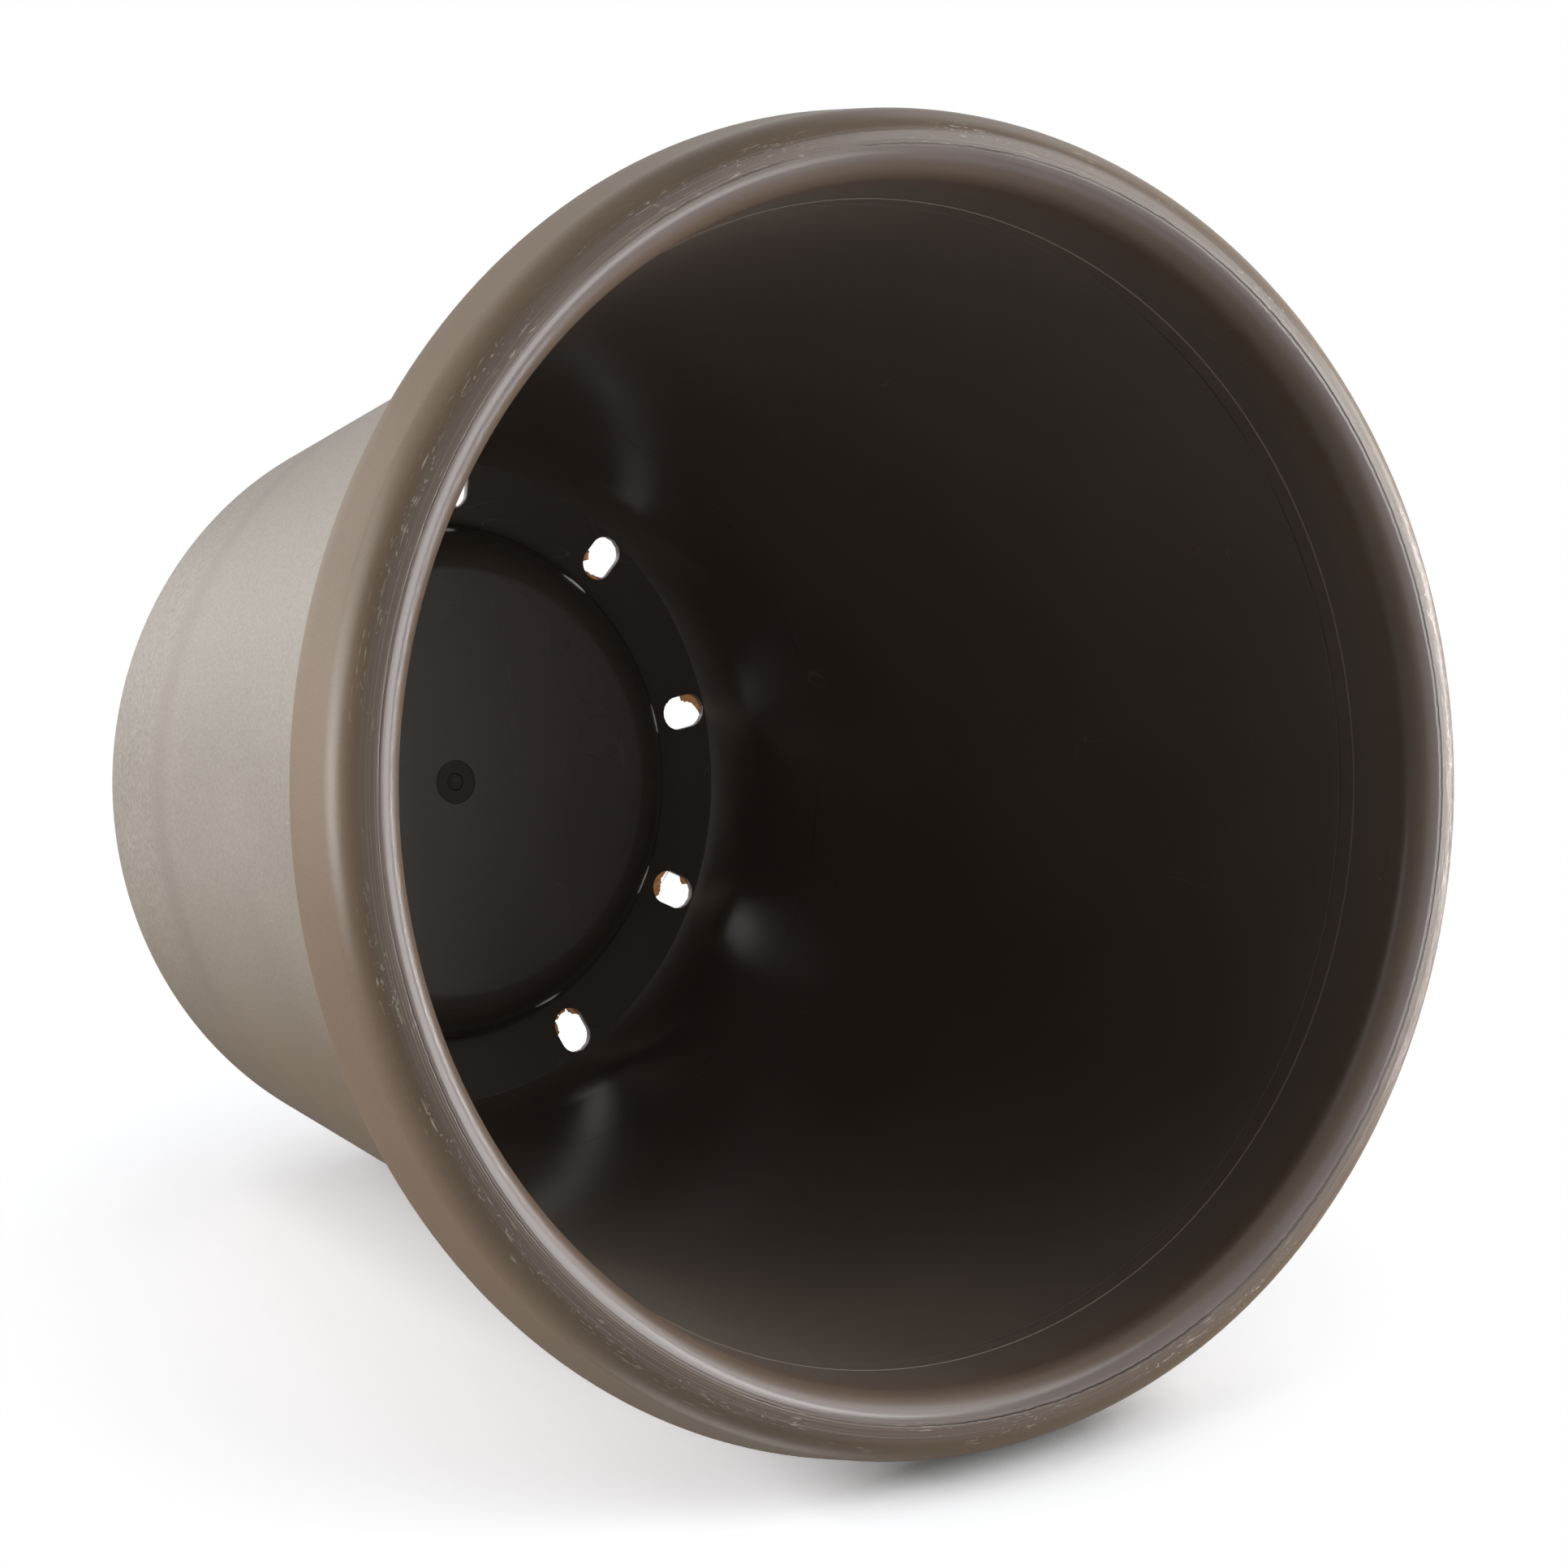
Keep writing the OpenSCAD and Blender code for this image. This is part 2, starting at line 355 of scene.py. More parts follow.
def potMesh(s, d, m, runs):
    # all runs and patches as one list of points and faces, each facing outwards
    columns = np.arange(m["columns"])
    points, faces = [], []

    def put(newPoints, newFaces):
        faces.extend((np.array(newFaces) + sum(map(len, points))).tolist())
        points.append(newPoints)

    for name in ("panelTop", "wall", "underside"):
        put(revolve(runs[name], columns, m), gridFaces(len(runs[name]), m["columns"]))
    ring = np.column_stack([columns, np.roll(columns, -1)])
    for name, row, order in (("panelTop", 0, (0, 1)), ("underside", -1, (1, 0))):
        edge = revolve(runs[name][[row]], columns, m)
        middle = np.array([[0, 0, *runs[name][row, 1:]]])
        fan = np.column_stack([ring[:, order], np.full(m["columns"], m["columns"])])
        put(np.concatenate([edge, middle]), fan)
    patch = slotPatch(s, d, m, runs)
    flat = patch.reshape(-1, 4)
    pitch = m["columns"] // s["slotCount"]
    for k in range(s["slotCount"]):
        turned = flat[:, :3] @ spinBy(k, s["slotCount"])
        put(np.column_stack([turned, flat[:, 3]]), gridFaces(*patch.shape[:2]))
        between = np.arange(k * pitch + m["halfWindow"], (k + 1) * pitch - m["halfWindow"] + 1)
        for (outer, z, length), sign in ((runs["ringTop"], 1), (runs["ringBottom"], -1)):
            r = np.linspace(m["ringIn"], outer, m["sideSteps"] + 1)[::sign]
            line = np.column_stack([r, np.full(len(r), z), length + np.abs(r - r[0])])
            put(revolve(line, between, m), gridFaces(len(line), len(between), closed=False))
    return np.concatenate(points), faces


def joinedMesh(name, points, faces, sharpAngle, zones, materials):
    # patches that share an edge become one closed skin; the fourth column is kept as the section's length
    mesh = bpy.data.meshes.new(name)
    mesh.from_pydata((points[:, :3] * mm).tolist(), [], faces)
    for key, values in {"alongSection": points[:, 3], **zones(points[:, 3])}.items():
        kind, field = ("FLOAT_COLOR", "color") if values.ndim == 2 else ("FLOAT", "value")
        mesh.attributes.new(key, kind, "POINT").data.foreach_set(field, values.astype("f").ravel())
    corners, starts = np.empty(len(mesh.loops), "i"), np.empty(len(mesh.polygons), "i")
    mesh.loops.foreach_get("vertex_index", corners)
    mesh.polygons.foreach_get("loop_start", starts)
    nearest = np.minimum.reduceat(points[corners, 3], starts)
    mesh.polygons.foreach_set("material_index", materials(nearest).astype("i"))
    skin = bmesh.new()
    skin.from_mesh(mesh)
    bmesh.ops.remove_doubles(skin, verts=skin.verts, dist=2e-6)
    openEdges = sum(len(edge.link_faces) != 2 for edge in skin.edges)
    volume = skin.calc_volume(signed=True) / mm ** 3 / 1000
    print(name, "faces", len(skin.faces), "open edges", openEdges, "cm3", round(volume, 2))
    skin.to_mesh(mesh)
    skin.free()
    mesh.shade_smooth()
    mesh.set_sharp_from_angle(angle=math.radians(sharpAngle))
    return mesh


# thin plastic that the mould left in the slots; mm and degrees
slotFlash = {
    "thick": 0.5,  # at the slot's wall
    "thins": 0.8,  # the share of it that is lost towards the torn edge
    "height": 0.45,  # of its middle above the underside
    "sag": 0.12,  # of the torn edge
    "curl": 0.10,  # how far the torn edge waves up and down
    "ragged": (0.10, 0.08),  # its waves in the film's plane: a share of the width, and mm
    "rooted": 0.15,  # how far it reaches into the wall
    "step": 1.5,  # degrees between two points round the slot
    # slot number: torn films that are left in it, as degrees round the slot and how far it stands in there
    "films": {
        9: [[(92, 0), (98, 1.4), (120, 2.4), (131, 3.2), (136, 3.5), (140, 1.6), (142, 0)],
            [(157, 0), (163, 0.8), (180, 1.8), (206, 1.7), (225, 0.5), (233, 0)]],
        8: [[(-20, 0), (-12, 0.8), (0, 1.9), (24, 2.7), (49, 3.2), (75, 2.0), (82, 0)],
            [(120, 0), (134, 1.1), (139, 1.1), (142, 0)]],
        7: [[(123, 0), (137, 1.6), (150, 2.3), (162, 3.2), (168, 4.0), (197, 4.3), (212, 3.6), (223, 2.6),
             (226, 0)],
            [(36, 0), (39, 1.0), (42, 2.2), (54, 1.8), (68, 0.4), (71, 0)]],
        6: [[(112, 0), (139, 1.9), (155, 1.6), (159, 0.6), (161, 0)],
            [(161, 0), (164, 1.4), (180, 1.6), (187, 1.9), (190, 0)],
            [(190, 0), (192, 2.0), (204, 1.7), (208, 0)],
            [(209, 0), (212, 1.6), (218, 2.4), (245, 2.2), (255, 1.5), (263, 0)]],
        0: [[(150, 0), (158, 1.2), (176, 0.8), (196, 1.6), (205, 0)]],
        1: [[(20, 0), (34, 1.5), (58, 0.9), (70, 0)], [(204, 0), (212, 1.2), (236, 0.7), (247, 0)]],
        2: [[(160, 0), (171, 1.9), (190, 1.3), (202, 0)]],
        3: [[(100, 0), (112, 0.8), (138, 1.6), (150, 0)], [(300, 0), (312, 1.1), (330, 0)]],
        4: [[(184, 0), (195, 1.4), (215, 2.0), (228, 0)]],
        5: [[(130, 0), (142, 1.3), (163, 0.9), (171, 0)], [(262, 0), (275, 0.8), (290, 0)]],
    },
    # slot number: a hair of plastic from the wall into the slot, three points in mm from the slot's centre
    "hairs": {7: [(-3.1, 6.05), (-4.3, 3.4), (-4.1, 1.1)], 9: [(6.4, 4.6), (7.6, 3.6), (8.0, 2.4)]},
    "hairThick": 0.3,  # at the wall
    "hairThins": 0.75,  # the share of it that is lost towards the tip
    "hairHeights": (0.5, 0.9, 0.7),  # of the three points, above the underside
    "sharpAngle": 40,
}


def flashFilm(spec, size, film, seed):
    # a film across part of a slot: it runs in from the wall to a ragged edge, width(a) plus three sine waves,
    # and gets thinner and sags on the way; its section is a closed loop carried round the slot's centre
    at, wide = np.array(film, float).T
    a = np.linspace(at[0], at[-1], max(int((at[-1] - at[0]) / spec["step"]), 8))
    w = np.interp(a, at, wide)
    waves = sum(np.sin(a * f + seed * p) for f, p in ((0.31, 1.0), (0.83, 2.3), (1.71, 4.1))) / 3
    share, least = spec["ragged"]
    w = np.maximum(w * (1 + share * waves) + least * waves * np.minimum(w, 1), 0.02)
    a = np.radians(a)
    ways = np.column_stack([np.cos(a), np.sin(a)])
    wall = stadiumReach(size, spec["rooted"], ways)
    u = np.linspace(0, 1, 6)
    thick = spec["thick"] * (1 - spec["thins"] * u)
    middle = spec["height"] - spec["sag"] * u + spec["curl"] * np.outer(waves, u ** 2)
    reach = wall[:, None] - (w[:, None] + spec["rooted"]) * u
    reach = np.concatenate([reach, reach[:, ::-1]], 1)
    z = np.concatenate([middle - thick / 2, (middle + thick / 2)[:, ::-1]], 1)
    return np.stack([reach * ways[:, :1], reach * ways[:, 1:], z], -1)


def flashHair(spec, knots):
    # a thin tapered tube along a bent line: p(t) = (1 - t)^2 a + 2 t (1 - t) b + t^2 c
    a, b, c = np.column_stack([np.array(knots, float), spec["hairHeights"]])
    t = np.linspace(0, 1, 14)[:, None]
    line = (1 - t) ** 2 * a + 2 * t * (1 - t) * b + t ** 2 * c
    way = np.gradient(line, axis=0)
    way /= np.linalg.norm(way, axis=1)[:, None]
    side = np.cross(way, [0, 0, 1])
    side /= np.linalg.norm(side, axis=1)[:, None]
    over = np.cross(side, way)
    r = spec["hairThick"] / 2 * (1 - spec["hairThins"] * t[:, 0])
    turn = np.linspace(0, 2 * np.pi, 8, endpoint=False)
    ring = np.cos(turn)[None, :, None] * side[:, None] + np.sin(turn)[None, :, None] * over[:, None]
    return line[:, None] + ring * r[:, None, None]


def flashMesh(spec, size, d):
    # all films and hairs in one mesh: loops of points joined in rows, the first and last loop closed
    points, faces, count = [], [], 0
    shapes = [(k, flashFilm(spec, size, film, k * 3.7 + n))
              for k, films in spec["films"].items() for n, film in enumerate(films)]
    shapes += [(k, flashHair(spec, knots)) for k, knots in spec["hairs"].items()]
    for k, loops in shapes:
        rows, around = loops.shape[:2]
        first = np.arange(around) + count
        points.append((loops.reshape(-1, 3) + [d["slotRadius"], 0, 0]) @ spinBy(k, size["slotCount"]))
        faces += (gridFaces(rows, around) + count).tolist()
        faces += [first[::-1].tolist(), (first + (rows - 1) * around).tolist()]
        count += rows * around
    mesh = bpy.data.meshes.new("slot_flash")
    mesh.from_pydata((np.concatenate(points) * mm).tolist(), [], faces)
    skin = bmesh.new()
    skin.from_mesh(mesh)
    bmesh.ops.recalc_face_normals(skin, faces=skin.faces)
    skin.to_mesh(mesh)
    skin.free()
    mesh.shade_smooth()
    mesh.set_sharp_from_angle(angle=math.radians(spec["sharpAngle"]))
    return mesh


runs = workOutRuns(potSize, section, moulding)

# the plastic; sizes, heights and depths in mm
plasticLook = {
    "core": "#776c63",  # the smooth skin that the core leaves inside
    "panel": "#897f78",  # the raised panel, a little greyer
    "lip": "#7a685a",  # the rounding from the inner wall up to the rim
    "roll": "#857874",  # the glossy roll inside the parting line, paler and pinker than the lip: a painted highlight
    "rim": "#7c6956",  # outside the parting line, and down the hanging band
    "grainedWithSheen": "#938a80",  # the outside, paler and greyer than the rim: a painted sheen over the plastic's own colour
    "pinkSheenAndWear": "#84766f",  # the worn, slightly shiny skin beside the parting line; its pinkish tint is partly a painted sheen
    "nick": "#cfc0ae",  # bruised plastic turns pale
    "dirtAndShade": "#2c2521",  # dark dirt in specks and on the gate mark; painted shade in the parting line's groove and the core's grooves, and the ejector print's outline
    "stepHighlightAndScratch": "#c0b1a2",  # painted highlight on a step between two parts of the core, and the pale of hair scratches
    "ringBand": "#76645a",  # the duller ring round the body, above the foot
    "floorSideShade": "#6d5a45",  # painted shade: the side towards the floor drawn darker and browner
    "floorSideShadeFrom": (-0.02, -0.12),  # m along X, from none to most of it
    "ior": 1.49,  # of polypropylene
    "cloudSize": 55.0,  # soft clouds in all the skins
    "cloudTone": 0.05,  # how far the clouds change the tone, as a share
    "cloudGloss": 0.03,  # and the roughness
    "waveSize": 9.0,  # slow waves that the polishing left in the core
    "waveHeight": 0.02,
    "grainSize": 1.1,  # drawn coarser than the real spark-eroded grain, which is about 0.3
    "grainHeight": 0.05,
    "grainTone": (0.75, 0.30),  # how far the grain changes the tone, on the outside and on the rim
    "coarseSize": 2.0,  # the coarser grain of the mould's foot insert
    "coarseHeight": 0.08,
    "footGrain": (0.070, 0.078),  # height over which the coarser grain ends, m
    "footUneven": 0.012,  # m by which the clouds shift that height and the duller ring's
    "duller": (0.084, 0.002, 0.016),  # height of that ring, and where it starts and stops fading, m
    "specks": (1000 / 120, 0.040, 0.025),  # spacing, and in shares of it the radii between which one fades in
    # lines on the core: how far from its middle each starts and stops fading
    "insertRing": (0.16, 0.45),
    "insertGroove": (0.10, 0.34),
    "baseInsert": (0.10, 0.40),
    "ringEnds": (0.02, 0.16, 0.3),  # |x| in m over which the insert ring gets its full light, and its least
    "scratch": (1000 / 45, 0.0003, 0.0011),  # size before drawing out, and where a line fades in its noise
    "scratchDrawn": (1.0, 0.09, 0.4),  # the noise's scale on each axis, which draws it out along Y
    "scratchTurn": 0.7,  # rad, of the noise after that
    "scratchBreaks": (1000 / 31, 0.56, 0.62),  # size, and the levels between which a scratch comes in
    "ejector": (20.3, -57.5, 8.1),  # middle and radius of the ejector's print on the panel
    "ejectorLine": (0.08, 0.35),
    "ejectorDepth": 0.012,
    "gateEdge": (0.6, -0.2),  # where the gate mark's dirt starts and is full, outwards from its edge
    "gateMatt": 0.25,  # roughness that the gate mark has more
    "nub": (0.6, -0.2, 1.0, 0.5),  # middle of the cut sprue in the dimple, and radii where it fades in
    # the rim's parting line: its place, half widths, depth and how far it wanders
    "seamPlace": -0.1,  # inwards from the top
    "seamWander": -0.9,
    "seamStreaks": (3.0, 50.0, 187, 4.0, 3.0),  # the wandering's noise, as in streakLook, and its detail
    "seamHalf": (0.08, 0.28, 0.85),  # the dark core's, the fading edge's at y = 0 and at y = -0.15 m; that dark is painted shadow
    "seamBase": (-0.35, 0.9),  # its strength at y = 0.05 m and at y = -0.15 m
    "seamDepth": 0.10,
    "turningHeight": 0.02,
    "bruiseHeight": 0.05,
    "bruiseMatt": 0.15,
    # marks beside the parting line: how far out from it, and where each starts and stops fading
    "wearAndSheen": (1.8, 1.8, 4.6),
    "nicks": (4.4, 0.5, 3.0),
    "scuffed": (4.0, 3.0, 6.0),
    # the thin flash, which light shines through
    "thinPale": "#ecd0b2",
    "thinDark": "#a9805f",
    "thinGlow": 0.7,  # the share of the light that goes through
    "thinCloud": 1000 / 600,
    "thinHeight": 0.1,
}

# streaks drawn out round the pot, as noise: about how long and wide they are and the radius where they lie,
# in mm, the number of their draw, and the levels between which they come in
streakLook = {
    "patchy": (55.0, 90.0, 150, 5.0, 0.40, 0.60),  # where the core's grooves get their painted shade
    "strong": (45.0, 80.0, 187, 9.0, 0.40, 0.58),  # where the parting line is strong
    "turning": (150.0, 0.45, 187, 2.0, 0.52, 0.66),  # fine lines from the turned mould
    "spots": (1.8, 0.8, 187, 1.0, 0.63, 0.68),  # nicks
    "clusters": (30.0, 7.0, 187, 6.0, 0.48, 0.66),  # where nicks and scuffs lie together
    "scuffs": (6.0, 0.7, 187, 3.0, 0.62, 0.72),
}

# the skin's zones along the section, from the middle of the panel out: where each starts, its colour, its
# roughness, how much grain it has, and the material that it belongs to
zoneTable = [
    (None, "panel", 0.26, 0.0, 0), ("shoulder", "core", 0.13, 0.0, 0), ("ring", "core", 0.24, 0.0, 0),
    ("crease", "core", 0.32, 0.0, 0), ("wallIn", "core", 0.36, 0.0, 0), ("lip", "lip", 0.30, 0.0, 1),
    ("roll", "roll", 0.15, 0.0, 1), ("top", "rim", 0.23, 0.2, 1), ("rimOut", "rim", 0.34, 0.6, 1),
    ("band", "rim", 0.42, 0.7, 1), ("hollow", "grainedWithSheen", 0.5, 0.8, 2), ("body", "grainedWithSheen", 0.5, 1.0, 2),
]


def zoneFinish(along):
    # each zone's values over its length, with a short straight ramp of 2 mm into the next one
    starts = np.array([runs["stations"].get(row[0], 0.0) for row in zoneTable])
    knots = np.column_stack([starts[1:] - 1, starts[1:] + 1]).ravel()
    spread = lambda values: np.interp(along, knots, np.repeat(values, 2)[1:-1])
    colours = np.array([linear(plasticLook[row[1]]) for row in zoneTable])
    return {
        "skinColour": np.stack([spread(colours[:, k]) for k in range(4)], 1),
        "matt": spread([row[2] for row in zoneTable]), "grain": spread([row[3] for row in zoneTable]),
    }


def zoneMaterials(along):
    # the material's number at a length along the section
    starts = [runs["stations"].get(row[0], -1.0) for row in zoneTable]
    return np.array([row[4] for row in zoneTable])[np.searchsorted(starts, along, side="right") - 1]


def streaksRound(node, along, long, wide, radius, draw, detail=1.0):
    # noise drawn out round the pot: the way from the axis times radius / long, lifted by the length along
    # the section over wide, so that a streak is about long by wide millimetres
    flat = node("VectorMath", node("TexCoord").outputs["Object"], (1, 1, 0), operation="MULTIPLY")
    way = node("VectorMath", flat, operation="NORMALIZE")
    ring = node("VectorMath", way, Scale=radius / long, operation="SCALE")
    lift = node("CombineXYZ", draw, 0.0, node("Math", along, wide, operation="DIVIDE"))
    spot = node("VectorMath", ring, lift, operation="ADD")
    return node("TexNoise", Vector=spot, Scale=1.0, Detail=detail, Roughness=0.6).outputs[0]


def streaks(node, along, name, least=0.0):
    # where the streaks' noise passes a level: from least to 1 between its two levels
    *place, low, high = streakLook[name]
    return node("MapRange", streaksRound(node, along, *place), low, high, least, 1.0)


def nearLine(node, value, middle, inner, outer):
    # 1 within inner of the middle, fading to 0 at outer
    off = node("Math", node("Math", value, middle, operation="SUBTRACT"), operation="ABSOLUTE")
    return node("MapRange", off, outer, inner, interpolation_type="SMOOTHSTEP")


def overlap(node, *masks):
    # where all of several masks are: their product
    product = masks[0]
    for mask in masks[1:]:
        product = node("Math", product, mask, operation="MULTIPLY")
    return product


def tinted(node, look, colour, *tints):
    # lays tints over a colour, each by its mask times its share
    for mask, share, tint in tints:
        part = node("Math", mask, share, operation="MULTIPLY")
        colour = node("Mix", part, colour, linear(look[tint]), data_type="RGBA")
    return colour


def cloudyPlastic(node, look):
    # what all the pot's skins share: their attributes, and a soft cloudiness of tone and gloss that comes
    # from the way the melt flowed
    along, matt, grain = (node("Attribute", attribute_name=key).outputs["Fac"]
                          for key in ("alongSection", "matt", "grain"))
    skin = node("Attribute", attribute_name="skinColour").outputs["Color"]
    place = node("TexCoord").outputs["Object"]
    cloud = node("TexNoise", Vector=place, Scale=1000 / look["cloudSize"], Detail=2.0, Roughness=0.55)
    cloud = cloud.outputs[0]
    tone = node("MapRange", cloud, 0.3, 0.7, 1 - look["cloudTone"], 1 + look["cloudTone"])
    gloss = node("MapRange", cloud, 0.3, 0.7, -look["cloudGloss"], look["cloudGloss"])
    return {"along": along, "grain": grain, "skin": skin, "place": place, "cloud": cloud, "tone": tone,
            "rough": node("Math", matt, gloss, operation="ADD")}


def sparkGrain(node, look, base):
    # the spark-eroded grain: its noise, and its height where the skin has grain
    fine = node("TexNoise", Vector=base["place"], Scale=1000 / look["grainSize"], Detail=2.0, Roughness=0.6)
    heights = node("Math", overlap(node, fine.outputs[0], base["grain"]), look["grainHeight"] * mm,
                   operation="MULTIPLY")
    return fine.outputs[0], heights


def finishPlastic(node, look, colour, rough, heights):
    bump = node("Bump", Height=heights, Strength=1.0, Distance=1.0)
    shader = node("BsdfPrincipled", Base_Color=colour, Roughness=rough, IOR=look["ior"], Normal=bump)
    node("OutputMaterial", Surface=shader)


def coreSkin(look, runs, sizes):
    # polypropylene against the polished, drawn core: smooth, with soft reflections, thin lines where the
    # core's parts meet, the insert ring's pale line a painted highlight, the ejector's print and a few hair
    # scratches from stacking
    material, node = newMaterial("polypropylene, smooth core skin")
    base = cloudyPlastic(node, look)
    along, place = base["along"], base["place"]
    at, marks = runs["stations"], runs["marks"]
    onPanel = node("MapRange", along, at["shoulder"], at["shoulder"] - 1)
    start, full, least = look["ringEnds"]
    ends = node("Math", node("SeparateXYZ", place).outputs["X"], operation="ABSOLUTE")
    ends = node("MapRange", ends, start, full, least, 1.0)
    # the insert ring's pale line is a painted highlight, full where |x| is large
    ringHighlight = overlap(node, nearLine(node, along, marks["insertRing"], *look["insertRing"]), ends)
    # the core's grooves drawn darker in patches: painted shade in them
    grooves = node("Math", nearLine(node, along, marks["insertGroove"], *look["insertGroove"]),
                   nearLine(node, along, marks["baseInsert"], *look["baseInsert"]), operation="ADD")
    grooves = overlap(node, grooves, streaks(node, along, "patchy"))
    # a scratch is where drawn-out noise passes one level, broken up by a second noise
    size, inner, outer = look["scratch"]
    drawn = node("Mapping", place, Rotation=(0.0, 0.0, look["scratchTurn"]), Scale=look["scratchDrawn"])
    drawn = node("TexNoise", Vector=drawn, Scale=1000 / size, Detail=1.0).outputs[0]
    size, low, high = look["scratchBreaks"]
    broken = node("TexNoise", Vector=place, Scale=1000 / size, Detail=1.0).outputs[0]
    scratches = overlap(node, nearLine(node, drawn, 0.5, inner, outer), node("MapRange", broken, low, high))
    x, y, radius = (value * mm for value in look["ejector"])
    flat = node("VectorMath", place, (1, 1, 0), operation="MULTIPLY")
    off = node("VectorMath", flat, (x, y, 0), operation="DISTANCE").outputs["Value"]
    inner, outer = (value * mm for value in look["ejectorLine"])
    ejector = overlap(node, nearLine(node, off, radius, inner, outer), onPanel)
    edge, (out, into) = sizes["gateDiameter"] / 2, look["gateEdge"]
    gate = overlap(node, node("MapRange", along, edge + out, edge + into), onPanel)
    x, y, outer, inner = (value * mm for value in look["nub"])
    nub = node("VectorMath", flat, (x, y, 0), operation="DISTANCE").outputs["Value"]
    nub = overlap(node, node("MapRange", nub, outer, inner), onPanel)

    rough = node("Math", gate, look["gateMatt"], base["rough"], operation="MULTIPLY_ADD")
    colour = tinted(node, look, node("VectorMath", base["skin"], Scale=base["tone"], operation="SCALE"),
                    (ringHighlight, 0.95, "stepHighlightAndScratch"), (scratches, 0.25, "stepHighlightAndScratch"), (grooves, 0.7, "dirtAndShade"),
                    (gate, 0.55, "dirtAndShade"), (ejector, 0.25, "dirtAndShade"), (nub, 0.2, "nick"))
    wave = node("TexNoise", Vector=place, Scale=1000 / look["waveSize"], Detail=1.0, Roughness=0.4).outputs[0]
    heights = node("Math", wave, look["waveHeight"] * mm, operation="MULTIPLY")
    heights = node("Math", ejector, -look["ejectorDepth"] * mm, heights, operation="MULTIPLY_ADD")
    finishPlastic(node, look, colour, rough, heights)
    return material


def rimSkin(look, runs):
    # polypropylene over the rim: a soft shine on the lip, a glossy roll drawn paler as a painted highlight, a
    # wandering parting line along the top whose dark is a painted shadow of its groove, beside it a worn skin
    # with a pinkish tint that is partly a painted sheen, fine turning lines, pale nicks and scuffs, then a
    # matt grain down the hanging band
    material, node = newMaterial("polypropylene, rim with parting line")
    base = cloudyPlastic(node, look)
    along, top = base["along"], runs["stations"]["top"]
    # the parting line, its groove and its painted shadow, is weaker and thinner where y is above 0, on the
    # picture's left
    wander = node("Math", streaksRound(node, along, *look["seamStreaks"]), 0.5, operation="SUBTRACT")
    fromLine = node("Math", along, top + look["seamPlace"], operation="SUBTRACT")
    fromLine = node("Math", wander, look["seamWander"], fromLine, operation="MULTIPLY_ADD")
    side = node("SeparateXYZ", base["place"]).outputs["Y"]
    depth = node("MapRange", side, 0.05, -0.15, *look["seamBase"])
    depth = node("Math", streaks(node, along, "strong", 0.1), depth, operation="ADD", use_clamp=True)
    inner, *outer = look["seamHalf"]
    seam = nearLine(node, fromLine, 0.0, inner, node("MapRange", side, 0.0, -0.15, *outer))
    seam = overlap(node, seam, depth)
    beside = lambda key: nearLine(node, along, top + look[key][0], *look[key][1:])
    # the band beside the parting line: real wear, and its pinkish tint partly a painted sheen
    wearAndSheen = beside("wearAndSheen")
    turning = overlap(node, streaks(node, along, "turning"), wearAndSheen)
    clusters = streaks(node, along, "clusters")
    nicks = overlap(node, streaks(node, along, "spots"), beside("nicks"), clusters)
    scuffs = overlap(node, streaks(node, along, "scuffs"), beside("scuffed"), clusters)
    bruised = node("Math", nicks, scuffs, operation="MAXIMUM")
    fine, heights = sparkGrain(node, look, base)

    speckle = overlap(node, node("Math", fine, 0.5, operation="SUBTRACT"), base["grain"])
    tone = node("Math", speckle, look["grainTone"][1], base["tone"], operation="MULTIPLY_ADD")
    # the parting line's dark tint is painted shadow in its groove
    colour = tinted(node, look, node("VectorMath", base["skin"], Scale=tone, operation="SCALE"),
                    (wearAndSheen, 0.6, "pinkSheenAndWear"), (bruised, 0.75, "nick"), (turning, 0.2, "nick"),
                    (seam, 0.85, "dirtAndShade"))
    rough = node("Math", bruised, look["bruiseMatt"], base["rough"], operation="MULTIPLY_ADD")
    for mask, height in ((seam, -look["seamDepth"]), (turning, look["turningHeight"]),
                         (bruised, look["bruiseHeight"])):
        heights = node("Math", mask, height * mm, heights, operation="MULTIPLY_ADD")
    finishPlastic(node, look, colour, rough, heights)
    return material


